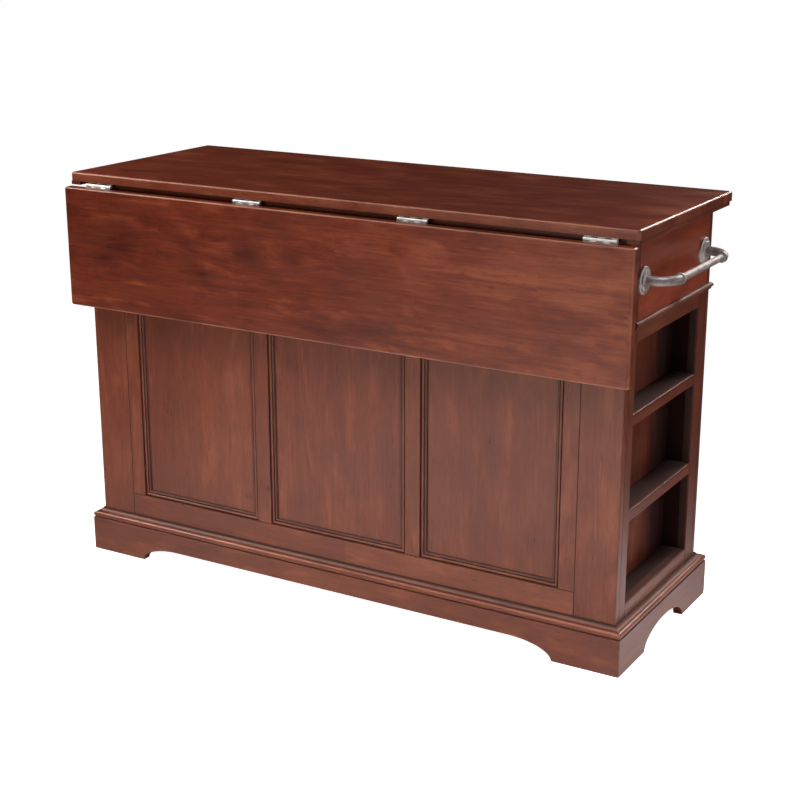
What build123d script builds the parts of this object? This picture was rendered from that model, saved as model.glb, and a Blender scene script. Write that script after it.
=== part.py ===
"""Mini bar counter: a panelled cabinet on an arched plinth, with a drop leaf, end niches and a towel bar.

Drawers and doors open on the service side. Lengths are in millimetres and +Z is up. The sizes below are
measured from the top board's leaf-side edge (Y = 0), the middle of the cabinet (X = 0) and the floor (Z = 0).
Each piece is moved on export so that the origin is the centre of the floor under the whole counter's box.
"""
import math
import os

from build123d import *

# Whole counter
HEIGHT = 914.0
TOP_LENGTH = 1380.0
TOP_DEPTH = 510.0
TOP_THICKNESS = 20.0
TOP_CORNER_RADIUS = 6.0
TOP_ARRIS_RADIUS = 5.0
END_OVERHANG = 26.0
LEAF_SIDE_OVERHANG = 22.0
FRONT_OVERHANG = 41.0
FRAME_THICKNESS = 18.0
BODY_FOOT = 46.0
WOOD_EASE = 1.5
CORNER_EASE = 3.0
JOINT_EASE = 0.8
CUT_PAST = 1.0

# Build-up battens under the top board
BATTEN_THICKNESS = 8.0
BATTEN_SETBACK = 0.6
FRONT_BATTEN_WIDTH = 25.0

# Panelled side behind the drop leaf
CORNER_WIDTH = 92.0
BACK_STILE_WIDTH = 36.5
BACK_MULLION_WIDTH = 37.0
CENTRE_OPENING = 348.0
BACK_RAIL_TOP = 155.0
BACK_TOP_RAIL_HEIGHT = 59.0
PANEL_RECESS = 7.0
PANEL_THICKNESS = 8.0
BEAD_START = 2.5
BEAD_WIDTH = 5.0
BEAD_DROP = 1.5
QUIRK_DROP = 5.0
STEP_START = 9.5
STEP_WIDTH = 4.0
STEP_DROP = 3.5
MOULDING_WIDTH = 15.0
STRIP_ROUNDING = 0.4

# Ends
END_NEAR_STILE = 30.0
END_FAR_STILE = 42.0
END_RAIL_TOP = 131.0
END_TOP_RAIL_HEIGHT = 42.0
WAIST_DROP = 172.0
WAIST_HEIGHT = 13.0
WAIST_PROJECTION = 7.0
WAIST_LIP = 3.5
WAIST_LIP_HEIGHT = 3.5
WAIST_INSET = 36.0
UPPER_PANEL_THICKNESS = 12.0
LEFT_PANEL_RECESS = 7.0
NICHE_DEPTH = 55.0
NICHE_BOARD = 8.0
NICHE_WALL = 10.0
NICHE_SHELF_THICKNESS = 24.0
NICHE_BOTTOM_SPACE = 177.0
NICHE_MIDDLE_SPACE = 178.0
NICHE_SHELF_SETBACK = 1.0

# Cabinet inside
BOARD = 18.0
CABINET_SHELF_RISE = 287.0
CABINET_SHELF_SETBACK = 20.0
DRAWER_SPACE = 159.0
GUIDE_WIDTH = 12.0
GUIDE_HEIGHT = 14.0

# Service side with drawers and doors
FRONT_STILE_WIDTH = 75.0
FRONT_MULLION_WIDTH = 50.0
FRONT_TOP_RAIL_HEIGHT = 28.0
FRONT_MID_RAIL_HEIGHT = 35.0
FRONT_LAP = 8.0
FRONT_THICKNESS = 18.0
FRONT_GAP = 1.0
DOOR_TOP_LAP = 5.0
DOOR_MEMBER_WIDTH = 56.0
DOOR_PANEL_THICKNESS = 8.0
DOOR_PANEL_RECESS = 6.0
DRAWER_WALL = 12.0
DRAWER_FLOOR = 6.0
DRAWER_HEIGHT = 105.0
DRAWER_BACK_GAP = 50.0
DRAWER_SIDE_GAP = 2.0
DRAWER_RUN_GAP = 0.5
KNOB_RADIUS = 13.0
KNOB_NECK_RADIUS = 6.0
KNOB_NECK_LENGTH = 9.0
KNOB_LENGTH = 20.0
KNOB_ROUNDING = 0.35
DOOR_KNOB_DROP = 122.0
DOOR_HINGE_LENGTH = 50.0
DOOR_HINGE_INSET = 70.0
DOOR_HINGE_SIDE = 4.0
DOOR_HINGE_OUT = 5.0
DOOR_KNUCKLE_RADIUS = 3.2
DOOR_KNUCKLES = 3
DOOR_PIN_RADIUS = 1.6
DOOR_SKIN_GAP = 1.0
DOOR_PLATE = 1.4
DOOR_PLATE_WIDTH = 16.0

# Plinth
PLINTH_HEIGHT = 80.0
PLINTH_PROJECTION = 20.0
PLINTH_FRONT_PROJECTION = 24.0
CAP_HEIGHT = 23.0
CAP_FOOT_SETBACK = 2.8
CAP_QUIRK = 2.3
CAP_BEAD_HEIGHT = 12.0
CAP_BEAD_SWELL = 2.4
CAP_BEAD_INSET = 3.2
CAP_LEDGE = 2.4
CAP_HOLLOW_DEPTH = 1.6
CAP_TOP_THICKNESS = 2.8
LONG_FOOT = 150.0
LONG_ARCH_HEIGHT = 36.0
LONG_ARCH_CURVE = 100.0
END_FOOT = 137.0
END_ARCH_HEIGHT = 43.0
BLOCK_SIZE = 40.0

# Drop leaf and its hinges
LEAF_WIDTH = 273.0
LEAF_THICKNESS = 20.0
LEAF_CORNER_RADIUS = 6.0
LEAF_ARRIS_RADIUS = 5.0
LEAF_SEAM = 1.0
HINGE_DROP = 7.0
HINGE_SETBACK = 2.0
HINGE_LENGTH = 70.0
HINGE_COUNT = 4
HINGE_END_INSET = 80.0
HINGE_KNUCKLES = 5
HINGE_RADIUS = 4.0
HINGE_PIN_RADIUS = 1.8
HINGE_PIN_GAP = 0.35
HINGE_PLATE = 1.6
HINGE_PLATE_REACH = 18.0
KNUCKLE_GAP = 0.4

# Folding leaf braces
BRACE_DROP = 150.0
BRACE_SETBACK = 6.0
ARM_WIDTH = 12.0
ARM_THICKNESS = 3.0
ARM_GAP = 0.5
RIVET_RADIUS = 2.6
RIVET_GAP = 0.4
TAB_THICKNESS = 2.5
TAB_WIDTH = 16.0
BRACE_PLATE = 2.0
BRACE_PLATE_WIDTH = 28.0
BRACE_PLATE_HEIGHT = 46.0

# Towel bar
BAR_DROP = 94.0
BAR_NEAR_INSET = 68.0
BAR_FAR_INSET = 49.0
BAR_STUB = 4.0
BAR_RADIUS = 7.5
BAR_BEND = 44.0
BAR_ARM_RADIUS = 9.5
BAR_COLLAR_RADIUS = 11.5
BAR_COLLAR_LENGTH = 7.0
ROSETTE_RADIUS = 28.0
ROSETTE_STEP_RADIUS = 20.0
ROSETTE_THICKNESS = 5.0
ROSETTE_STEP = 4.0
ROSETTE_EASE = 1.8

# Levels and faces that follow from the sizes above
TOP_UNDER = HEIGHT - TOP_THICKNESS
END_X = TOP_LENGTH / 2 - END_OVERHANG
END_IN = END_X - FRAME_THICKNESS
LEAF_FACE = LEAF_SIDE_OVERHANG
BACK_IN = LEAF_FACE + FRAME_THICKNESS
FRONT_FACE = TOP_DEPTH - FRONT_OVERHANG
FRONT_IN = FRONT_FACE - FRAME_THICKNESS
NEAR_EDGE = BACK_IN + END_NEAR_STILE
FAR_EDGE = FRONT_IN - END_FAR_STILE
CORNER_X = END_X - CORNER_WIDTH
STILE_X = CORNER_X - BACK_STILE_WIDTH
MULLION_X = CENTRE_OPENING / 2
SIDE_OPENING_X = MULLION_X + BACK_MULLION_WIDTH
BACK_OPENING_TOP = TOP_UNDER - BACK_TOP_RAIL_HEIGHT
WAIST_TOP = TOP_UNDER - WAIST_DROP
WAIST_START = LEAF_FACE + WAIST_INSET
NICHE_TOP = WAIST_TOP - END_TOP_RAIL_HEIGHT
NICHE_BACK_X = END_X - NICHE_DEPTH
NICHE_SHELF_LOWER_TOP = END_RAIL_TOP + NICHE_BOTTOM_SPACE + NICHE_SHELF_THICKNESS
NICHE_SHELF_UPPER_TOP = NICHE_SHELF_LOWER_TOP + NICHE_MIDDLE_SPACE + NICHE_SHELF_THICKNESS
CABINET_SHELF_TOP = END_RAIL_TOP + CABINET_SHELF_RISE
DECK_TOP = TOP_UNDER - DRAWER_SPACE
DECK_UNDER = DECK_TOP - BOARD
FLOOR_UNDER = END_RAIL_TOP - BOARD
FRONT_RAIL_UNDER = TOP_UNDER - FRONT_TOP_RAIL_HEIGHT
FRONT_MID_RAIL_BOTTOM = DECK_TOP - FRONT_MID_RAIL_HEIGHT
DOOR_TOP = FRONT_MID_RAIL_BOTTOM + DOOR_TOP_LAP
DRAWER_FRONT_TOP = FRONT_RAIL_UNDER + FRONT_LAP
FRONT_STILE_X = END_X - FRONT_STILE_WIDTH
BAY = (2 * FRONT_STILE_X - 2 * FRONT_MULLION_WIDTH) / 3
PARTITION_X = BAY / 2 + FRONT_MULLION_WIDTH / 2
BAY_CENTRES = {"left": -2 * PARTITION_X, "centre": 0.0, "right": 2 * PARTITION_X}
FRONT_BACK = FRONT_FACE + FRONT_GAP
FRONT_OUT = FRONT_BACK + FRONT_THICKNESS
BATTEN_FRONT = FRONT_FACE + FRONT_BATTEN_WIDTH
PLINTH_X = END_X + PLINTH_PROJECTION
PLINTH_LEAF = LEAF_FACE - PLINTH_PROJECTION
PLINTH_FRONT = FRONT_FACE + PLINTH_FRONT_PROJECTION
AXIS_Y = HINGE_SETBACK
AXIS_Z = TOP_UNDER - HINGE_DROP
LEAF_IN = AXIS_Y - HINGE_DROP
LEAF_OUT = LEAF_IN - LEAF_THICKNESS
LEAF_TOP = AXIS_Z - HINGE_SETBACK - LEAF_SEAM
BRACE_X = (STILE_X + CORNER_X) / 2
BRACE_Y = AXIS_Y + BRACE_SETBACK
BRACE_Z = AXIS_Z - BRACE_DROP
ARM_RUN = BRACE_DROP + BRACE_SETBACK
ARM_RISE = BRACE_DROP - BRACE_SETBACK
ARM_LENGTH = math.hypot(ARM_RUN, ARM_RISE) / 2
BAR_HEIGHT = TOP_UNDER - BAR_DROP
BAR_NEAR_Y = LEAF_FACE + BAR_NEAR_INSET
BAR_FAR_Y = FRONT_FACE - BAR_FAR_INSET
ROSETTE_FRONT = END_X + ROSETTE_THICKNESS + ROSETTE_STEP
BAR_START = ROSETTE_FRONT + BAR_STUB
BAR_X = BAR_START + BAR_BEND

# Origin: the middle of the floor under the whole counter's box
ORIGIN_X = (BAR_X + BAR_COLLAR_RADIUS - TOP_LENGTH / 2) / 2
ORIGIN_Y = (TOP_DEPTH + LEAF_OUT) / 2

CORNER = (Align.MIN, Align.MIN, Align.MIN)
STEM = (Align.CENTER, Align.CENTER, Align.MIN)


def block(x0, x1, y0, y1, z0, z1):
    return Pos(x0, y0, z0) * Box(x1 - x0, y1 - y0, z1 - z0, align=CORNER)


def both(maker):
    # the same piece at the right end and the left end
    piece = maker()
    return [piece, mirror(piece, about=Plane.YZ)]


def eased(board, axis, side):
    # a frame board whose outer face has broken edges, so that its joints show
    face = board.faces().sort_by(axis)[-1 if side > 0 else 0]
    return chamfer(face.edges(), JOINT_EASE)


def rod_x(x0, x1, y, z, radius):
    return Pos(x0, y, z) * Rot(0, 90, 0) * Cylinder(radius, x1 - x0, align=STEM)


def rod_y(x, y0, y1, z, radius):
    return Pos(x, y0, z) * Rot(-90, 0, 0) * Cylinder(radius, y1 - y0, align=STEM)


def rod_z(x, y, z0, z1, radius):
    return Pos(x, y, z0) * Cylinder(radius, z1 - z0, align=STEM)


def plan_prism(points, z0, z1):
    # upright prism over an outline on the floor
    return Pos(0, 0, z0) * extrude(make_face(Polyline(*points, close=True)), amount=z1 - z0)


def save(node, *pieces):
    os.makedirs("parts", exist_ok=True)
    solids = []
    for piece in pieces:
        solids.extend(piece.solids())
    placed = [solid.moved(Location((-ORIGIN_X, -ORIGIN_Y, 0))) for solid in solids]
    shape = placed[0] if len(placed) == 1 else Compound(children=placed)
    export_step(shape, os.path.join("parts", node + ".step"))


# Top board with rounded upper arrises
def make_top():
    board = block(-TOP_LENGTH / 2, TOP_LENGTH / 2, 0, TOP_DEPTH, TOP_UNDER, HEIGHT)
    board = fillet(board.edges().filter_by(Axis.Z), TOP_CORNER_RADIUS)
    board = fillet(board.faces().sort_by(Axis.Z)[-1].edges(), TOP_ARRIS_RADIUS)
    return board


def end_batten():
    edge = TOP_LENGTH / 2 - BATTEN_SETBACK
    return block(END_X, edge, BATTEN_SETBACK, BATTEN_FRONT, TOP_UNDER - BATTEN_THICKNESS, TOP_UNDER)


save("top_board", make_top())
save(
    "top_battens",
    *both(end_batten),
    block(-END_X, END_X, FRONT_FACE, BATTEN_FRONT, TOP_UNDER - BATTEN_THICKNESS, TOP_UNDER),
)


# Panelled side: corner boards, stiles, rails, panels and their bead mouldings
def corner_board():
    board = block(CORNER_X, END_X, LEAF_FACE, BACK_IN, BODY_FOOT, TOP_UNDER)
    uprights = board.edges().filter_by(Axis.Z)
    joints = [uprights.sort_by(Axis.Y)[:2].sort_by(Axis.X)[0], uprights.sort_by(Axis.Y)[2:].sort_by(Axis.X)[1]]
    board = chamfer(joints, JOINT_EASE)
    arris = board.edges().filter_by(Axis.Z).sort_by_distance((END_X, LEAF_FACE, BODY_FOOT))[0]
    return fillet(arris, CORNER_EASE)


def back_upright(x0, x1):
    return eased(block(x0, x1, LEAF_FACE, BACK_IN, BACK_RAIL_TOP, BACK_OPENING_TOP), Axis.Y, -1)


def ring(x0, x1, z0, z1, start, width, y0, rounding):
    # rectangular strip frame lying on the panel, its front face at y0
    y1 = LEAF_FACE + PANEL_RECESS
    stop = start + width
    outer = block(x0 + start, x1 - start, y0, y1, z0 + start, z1 - start)
    inner = block(x0 + stop, x1 - stop, y0 - CUT_PAST, y1 + CUT_PAST, z0 + stop, z1 - stop)
    strip = outer - inner
    return strip if rounding == 0 else fillet(strip.faces().sort_by(Axis.Y)[0].edges(), width * rounding)


def panel_moulding(x0, x1):
    z0 = BACK_RAIL_TOP
    z1 = BACK_OPENING_TOP
    base = ring(x0, x1, z0, z1, 0, MOULDING_WIDTH, LEAF_FACE + QUIRK_DROP, 0)
    bead = ring(x0, x1, z0, z1, BEAD_START, BEAD_WIDTH, LEAF_FACE + BEAD_DROP, STRIP_ROUNDING)
    step = ring(x0, x1, z0, z1, STEP_START, STEP_WIDTH, LEAF_FACE + STEP_DROP, STRIP_ROUNDING)
    return base + bead + step


OPENINGS = [(-STILE_X, -SIDE_OPENING_X), (-MULLION_X, MULLION_X), (SIDE_OPENING_X, STILE_X)]
right_corner, left_corner = both(corner_board)
save("corner_board_right", right_corner)
save("corner_board_left", left_corner)
save(
    "back_stiles",
    *both(lambda: back_upright(STILE_X, CORNER_X)),
    *both(lambda: back_upright(MULLION_X, SIDE_OPENING_X)),
)
save(
    "back_rails",
    eased(block(-CORNER_X, CORNER_X, LEAF_FACE, BACK_IN, BODY_FOOT, BACK_RAIL_TOP), Axis.Y, -1),
    eased(block(-CORNER_X, CORNER_X, LEAF_FACE, BACK_IN, BACK_OPENING_TOP, TOP_UNDER), Axis.Y, -1),
)
PANEL_FACE = LEAF_FACE + PANEL_RECESS
PANEL_IN = PANEL_FACE + PANEL_THICKNESS
save(
    "back_panels",
    *[block(a, b, PANEL_FACE, PANEL_IN, BACK_RAIL_TOP, BACK_OPENING_TOP) for a, b in OPENINGS],
)
save("back_panel_mouldings", *[panel_moulding(a, b) for a, b in OPENINGS])


# Ends: stiles and rails around the niches or the left panel, upper panels, waist mouldings
def near_stile():
    return eased(block(END_IN, END_X, BACK_IN, NEAR_EDGE, BODY_FOOT, TOP_UNDER), Axis.X, 1)


def far_stile():
    return eased(block(END_IN, END_X, FAR_EDGE, FRONT_IN, BODY_FOOT, WAIST_TOP), Axis.X, 1)


def end_rail(low, high):
    return eased(block(END_IN, END_X, NEAR_EDGE, FAR_EDGE, low, high), Axis.X, 1)


def upper_panel():
    inner = END_X - UPPER_PANEL_THICKNESS
    return eased(block(inner, END_X, NEAR_EDGE, FRONT_IN, WAIST_TOP, TOP_UNDER), Axis.X, 1)


def strip_along(profile, outward, start, length):
    # a moulding profile, drawn outward and upward, run along a face from a start point
    along = Vector(*outward).cross(Vector(0, 0, 1))
    plane = Plane(origin=start, x_dir=outward, z_dir=along)
    return extrude(plane * make_face(profile), amount=length)


def waist_profile():
    # square lip below, rounded nose above
    low = WAIST_TOP - WAIST_HEIGHT
    nose = low + WAIST_LIP_HEIGHT
    lip = Polyline((0, WAIST_TOP), (0, low), (WAIST_LIP, low), (WAIST_LIP, nose))
    swell = ThreePointArc((WAIST_LIP, nose), (WAIST_PROJECTION, (nose + WAIST_TOP) / 2), (WAIST_LIP, WAIST_TOP))
    return lip + swell + Line((WAIST_LIP, WAIST_TOP), (0, WAIST_TOP))


def waist_end():
    far = FRONT_FACE + WAIST_PROJECTION
    strip = strip_along(waist_profile(), (1, 0, 0), (END_X, far, 0), far - WAIST_START)
    nose = END_X + WAIST_PROJECTION
    plan = [(END_X, WAIST_START), (nose, WAIST_START), (nose, far), (END_X, FRONT_FACE)]
    return strip & plan_prism(plan, 0, HEIGHT)


def waist_front():
    reach = END_X + WAIST_PROJECTION
    far = FRONT_FACE + WAIST_PROJECTION
    strip = strip_along(waist_profile(), (0, 1, 0), (-reach, FRONT_FACE, 0), 2 * reach)
    plan = [(-END_X, FRONT_FACE), (-reach, far), (reach, far), (END_X, FRONT_FACE)]
    return strip & plan_prism(plan, 0, HEIGHT)


LEFT_PANEL_FACE = -END_X + LEFT_PANEL_RECESS
save("end_stiles", *both(near_stile), *both(far_stile))
save(
    "end_rails",
    *both(lambda: end_rail(NICHE_TOP, WAIST_TOP)),
    *both(lambda: end_rail(BODY_FOOT, END_RAIL_TOP)),
)
save("end_upper_panels", *both(upper_panel))
save(
    "left_end_panel",
    block(LEFT_PANEL_FACE, LEFT_PANEL_FACE + PANEL_THICKNESS, NEAR_EDGE, FAR_EDGE, END_RAIL_TOP, NICHE_TOP),
)
save("waist_mouldings", *both(waist_end), waist_front())

# Shallow niches in the right end
niche_front = END_X - NICHE_SHELF_SETBACK


def niche_shelf(top):
    shelf = block(NICHE_BACK_X, niche_front, NEAR_EDGE, FAR_EDGE, top - NICHE_SHELF_THICKNESS, top)
    return fillet(shelf.edges().filter_by(Axis.Y).sort_by(Axis.X)[-2:], WOOD_EASE)


save("niche_back", block(NICHE_BACK_X - NICHE_BOARD, NICHE_BACK_X, BACK_IN, FRONT_IN, END_RAIL_TOP, DECK_UNDER))
save(
    "niche_walls",
    block(NICHE_BACK_X, END_IN, NEAR_EDGE - NICHE_WALL, NEAR_EDGE, END_RAIL_TOP, NICHE_TOP + NICHE_WALL),
    block(NICHE_BACK_X, END_IN, FAR_EDGE, FAR_EDGE + NICHE_WALL, END_RAIL_TOP, NICHE_TOP + NICHE_WALL),
    block(NICHE_BACK_X, END_IN, NEAR_EDGE, FAR_EDGE, NICHE_TOP, NICHE_TOP + NICHE_WALL),
)
save("niche_shelves", niche_shelf(NICHE_SHELF_UPPER_TOP), niche_shelf(NICHE_SHELF_LOWER_TOP))

# Cabinet inside: floor, partitions, shelves, and the decks with guides that carry the drawers
PARTITION_OUT = PARTITION_X + BOARD / 2
PARTITION_IN = PARTITION_X - BOARD / 2
SHELF_FRONT = FRONT_IN - CABINET_SHELF_SETBACK
SHELF_UNDER = CABINET_SHELF_TOP - BOARD
NICHE_INSIDE = NICHE_BACK_X - NICHE_BOARD
DRAWER_WIDTH = BAY - 2 * DRAWER_SIDE_GAP
DRAWER_BOTTOM = DECK_TOP + DRAWER_RUN_GAP
DRAWER_BACK = BACK_IN + DRAWER_BACK_GAP


def drawer_guide(x):
    return block(x - GUIDE_WIDTH / 2, x + GUIDE_WIDTH / 2, BACK_IN, FRONT_IN, DECK_TOP, DECK_TOP + GUIDE_HEIGHT)


save("cabinet_bottom", block(-END_IN, END_IN, BACK_IN, FRONT_IN, FLOOR_UNDER, END_RAIL_TOP))
save(
    "partitions",
    *both(lambda: block(PARTITION_IN, PARTITION_OUT, BACK_IN, FRONT_IN, END_RAIL_TOP, TOP_UNDER)),
)
save(
    "cabinet_shelves",
    block(-END_IN, -PARTITION_OUT, BACK_IN, SHELF_FRONT, SHELF_UNDER, CABINET_SHELF_TOP),
    block(-PARTITION_IN, PARTITION_IN, BACK_IN, SHELF_FRONT, SHELF_UNDER, CABINET_SHELF_TOP),
    block(PARTITION_OUT, NICHE_INSIDE, BACK_IN, SHELF_FRONT, SHELF_UNDER, CABINET_SHELF_TOP),
)
guide_offset = BAY / 2 + GUIDE_WIDTH / 2
save(
    "drawer_decks",
    block(-PARTITION_IN, PARTITION_IN, BACK_IN, FRONT_IN, DECK_UNDER, DECK_TOP),
    *both(lambda: block(PARTITION_OUT, END_IN, BACK_IN, FRONT_IN, DECK_UNDER, DECK_TOP)),
    *[drawer_guide(c + side * guide_offset) for c in BAY_CENTRES.values() for side in (-1, 1)],
)

# Service side frame
mullion_in = BAY / 2
mullion_out = BAY / 2 + FRONT_MULLION_WIDTH


def front_stile():
    stile = block(FRONT_STILE_X, END_X, FRONT_IN, FRONT_FACE, BODY_FOOT, TOP_UNDER)
    uprights = stile.edges().filter_by(Axis.Z)
    joints = [uprights.sort_by(Axis.Y)[:2].sort_by(Axis.X)[1], uprights.sort_by(Axis.Y)[2:].sort_by(Axis.X)[0]]
    stile = chamfer(joints, JOINT_EASE)
    arris = stile.edges().filter_by(Axis.Z).sort_by_distance((END_X, FRONT_FACE, BODY_FOOT))[0]
    return fillet(arris, CORNER_EASE)


def front_board(x0, x1, z0, z1):
    return eased(block(x0, x1, FRONT_IN, FRONT_FACE, z0, z1), Axis.Y, 1)


save(
    "front_stiles",
    *both(front_stile),
    *both(lambda: front_board(mullion_in, mullion_out, END_RAIL_TOP, FRONT_MID_RAIL_BOTTOM)),
    *both(lambda: front_board(mullion_in, mullion_out, DECK_TOP, FRONT_RAIL_UNDER)),
)
save(
    "front_rails",
    front_board(-FRONT_STILE_X, FRONT_STILE_X, BODY_FOOT, END_RAIL_TOP),
    front_board(-FRONT_STILE_X, FRONT_STILE_X, FRONT_MID_RAIL_BOTTOM, DECK_TOP),
    front_board(-FRONT_STILE_X, FRONT_STILE_X, FRONT_RAIL_UNDER, TOP_UNDER),
)


# Bracket plinth with arches, its cap moulding and the corner blocks that carry the cabinet
def arch_along_x(y0, y1):
    half = PLINTH_X - LONG_FOOT
    flat = half - LONG_ARCH_CURVE
    opening = block(-flat, flat, y0, y1, -CUT_PAST, LONG_ARCH_HEIGHT)
    for x in (-flat, flat):
        side = Plane(origin=(x, y1, 0), x_dir=(1, 0, 0), z_dir=(0, -1, 0))
        opening = opening + extrude(side * Ellipse(LONG_ARCH_CURVE, LONG_ARCH_HEIGHT), amount=y1 - y0)
    return opening


def long_plinth(outer, inner):
    plan = [(-PLINTH_X, outer), (PLINTH_X, outer), (END_X, inner), (-END_X, inner)]
    low, high = min(outer, inner), max(outer, inner)
    return plan_prism(plan, 0, PLINTH_HEIGHT) - arch_along_x(low - CUT_PAST, high + CUT_PAST)


def end_plinth():
    plan = [(PLINTH_X, PLINTH_LEAF), (PLINTH_X, PLINTH_FRONT), (END_X, FRONT_FACE), (END_X, LEAF_FACE)]
    centre = (PLINTH_LEAF + PLINTH_FRONT) / 2
    half = (PLINTH_FRONT - PLINTH_LEAF) / 2 - END_FOOT
    side = Plane(origin=(END_X - CUT_PAST, centre, 0), x_dir=(0, 1, 0), z_dir=(1, 0, 0))
    arch = extrude(side * Ellipse(half, END_ARCH_HEIGHT), amount=PLINTH_PROJECTION + 2 * CUT_PAST)
    return plan_prism(plan, 0, PLINTH_HEIGHT) - arch


def cap_profile(reach):
    # square foot, bead near the outer edge, then a hollow rising to the cabinet
    stretch = reach / PLINTH_PROJECTION
    foot = (PLINTH_PROJECTION - CAP_FOOT_SETBACK) * stretch
    swell = foot + CAP_BEAD_SWELL * stretch
    crown = foot - CAP_BEAD_INSET * stretch
    ledge = crown - CAP_LEDGE * stretch
    thin = CAP_TOP_THICKNESS * stretch
    low = PLINTH_HEIGHT
    quirk = low + CAP_QUIRK
    bead = quirk + CAP_BEAD_HEIGHT
    top = low + CAP_HEIGHT
    hollow = ((ledge + thin) / 2 - CAP_HOLLOW_DEPTH * stretch, (bead + top) / 2 - CAP_HOLLOW_DEPTH)
    outline = Polyline((0, top), (0, low), (foot, low), (foot, quirk))
    outline = outline + ThreePointArc((foot, quirk), (swell, (quirk + bead) / 2), (crown, bead))
    outline = outline + Line((crown, bead), (ledge, bead))
    return outline + ThreePointArc((ledge, bead), hollow, (thin, top)) + Line((thin, top), (0, top))


def end_cap():
    run = PLINTH_FRONT - PLINTH_LEAF
    strip = strip_along(cap_profile(PLINTH_PROJECTION), (1, 0, 0), (END_X, PLINTH_FRONT, 0), run)
    plan = [(PLINTH_X, PLINTH_LEAF), (PLINTH_X, PLINTH_FRONT), (END_X, FRONT_FACE), (END_X, LEAF_FACE)]
    return strip & plan_prism(plan, 0, HEIGHT)


def long_cap(outward, reach, face):
    start = (-PLINTH_X * outward, face, 0)
    strip = strip_along(cap_profile(reach), (0, outward, 0), start, 2 * PLINTH_X)
    outer = face + outward * reach
    plan = [(-END_X, face), (-PLINTH_X, outer), (PLINTH_X, outer), (END_X, face)]
    return strip & plan_prism(plan, 0, HEIGHT)


def corner_block(y0):
    return block(END_IN - BLOCK_SIZE, END_IN, y0, y0 + BLOCK_SIZE, 0, FLOOR_UNDER)


right_plinth, left_plinth = both(end_plinth)
save("plinth_leaf_side", long_plinth(PLINTH_LEAF, LEAF_FACE))
save("plinth_front", long_plinth(PLINTH_FRONT, FRONT_FACE))
save("plinth_right", right_plinth)
save("plinth_left", left_plinth)
save(
    "plinth_caps",
    *both(end_cap),
    long_cap(-1, PLINTH_PROJECTION, LEAF_FACE),
    long_cap(1, PLINTH_FRONT_PROJECTION, FRONT_FACE),
)
save(
    "corner_blocks",
    *both(lambda: corner_block(BACK_IN)),
    *both(lambda: corner_block(FRONT_IN - BLOCK_SIZE)),
)


# Drop leaf, hanging
def make_leaf():
    half = TOP_LENGTH / 2
    leaf = block(-half, half, LEAF_OUT, LEAF_IN, LEAF_TOP - LEAF_WIDTH, LEAF_TOP)
    leaf = fillet(leaf.edges().filter_by(Axis.Y), LEAF_CORNER_RADIUS)
    return fillet(leaf.faces().sort_by(Axis.Y)[0].edges(), LEAF_ARRIS_RADIUS)


# Butt hinges: knuckles 1, 3 and 5 and the pin belong to the top, knuckles 2 and 4 to the leaf
hinge_outer = TOP_LENGTH / 2 - HINGE_END_INSET
HINGES = [hinge_outer * (2 * i / (HINGE_COUNT - 1) - 1) for i in range(HINGE_COUNT)]
knuckle = HINGE_LENGTH / HINGE_KNUCKLES


def knuckle_span(x, number):
    start = x - HINGE_LENGTH / 2 + number * knuckle
    return start + KNUCKLE_GAP / 2, start + knuckle - KNUCKLE_GAP / 2


def hinge_fixed(x):
    inner = AXIS_Y + HINGE_RADIUS
    half = HINGE_LENGTH / 2
    reach = AXIS_Y + HINGE_PLATE_REACH
    hinge = block(x - half, x + half, inner - HINGE_PLATE, reach, TOP_UNDER - HINGE_PLATE, TOP_UNDER)
    hinge = hinge + rod_x(x - half, x + half, AXIS_Y, AXIS_Z, HINGE_PIN_RADIUS)
    for number in range(0, HINGE_KNUCKLES, 2):
        a, b = knuckle_span(x, number)
        hinge = hinge + rod_x(a, b, AXIS_Y, AXIS_Z, HINGE_RADIUS)
        hinge = hinge + block(a, b, inner - HINGE_PLATE, inner, AXIS_Z, TOP_UNDER)
    return hinge


def hinge_moving(x):
    half = HINGE_LENGTH / 2
    bore = HINGE_PIN_RADIUS + HINGE_PIN_GAP
    web = AXIS_Z - HINGE_RADIUS
    hinge = block(x - half, x + half, LEAF_IN, LEAF_IN + HINGE_PLATE, LEAF_TOP - HINGE_PLATE_REACH, LEAF_TOP)
    for number in range(1, HINGE_KNUCKLES, 2):
        a, b = knuckle_span(x, number)
        hinge = hinge + rod_x(a, b, AXIS_Y, AXIS_Z, HINGE_RADIUS)
        hinge = hinge + block(a, b, LEAF_IN, AXIS_Y, web, web + HINGE_PLATE)
        hinge = hinge + block(a, b, LEAF_IN, LEAF_IN + HINGE_PLATE, LEAF_TOP - HINGE_PLATE, web + HINGE_PLATE)
    return hinge - rod_x(x - half, x + half, AXIS_Y, AXIS_Z, bore)


save("drop_leaf", make_leaf())
save("leaf_hinge_fixed", *[hinge_fixed(x) for x in HINGES])
save("leaf_hinge_moving", *[hinge_moving(x) for x in HINGES])

# Folding braces: base tab, lower arm, upper arm and leaf tab lie side by side along X
LOWER_ARM = (BRACE_X - ARM_GAP / 2 - ARM_THICKNESS, BRACE_X - ARM_GAP / 2)
UPPER_ARM = (BRACE_X + ARM_GAP / 2, BRACE_X + ARM_GAP / 2 + ARM_THICKNESS)
BASE_TAB = (LOWER_ARM[0] - ARM_GAP - TAB_THICKNESS, LOWER_ARM[0] - ARM_GAP)
LEAF_TAB = (UPPER_ARM[1] + ARM_GAP, UPPER_ARM[1] + ARM_GAP + TAB_THICKNESS)


def tab(span, edge):
    # rounded tab from a plate to the pivot
    low, high = min(edge, BRACE_Y), max(edge, BRACE_Y)
    flat = block(span[0], span[1], low, high, BRACE_Z - TAB_WIDTH / 2, BRACE_Z + TAB_WIDTH / 2)
    return flat + rod_x(span[0], span[1], BRACE_Y, BRACE_Z, TAB_WIDTH / 2)


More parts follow.
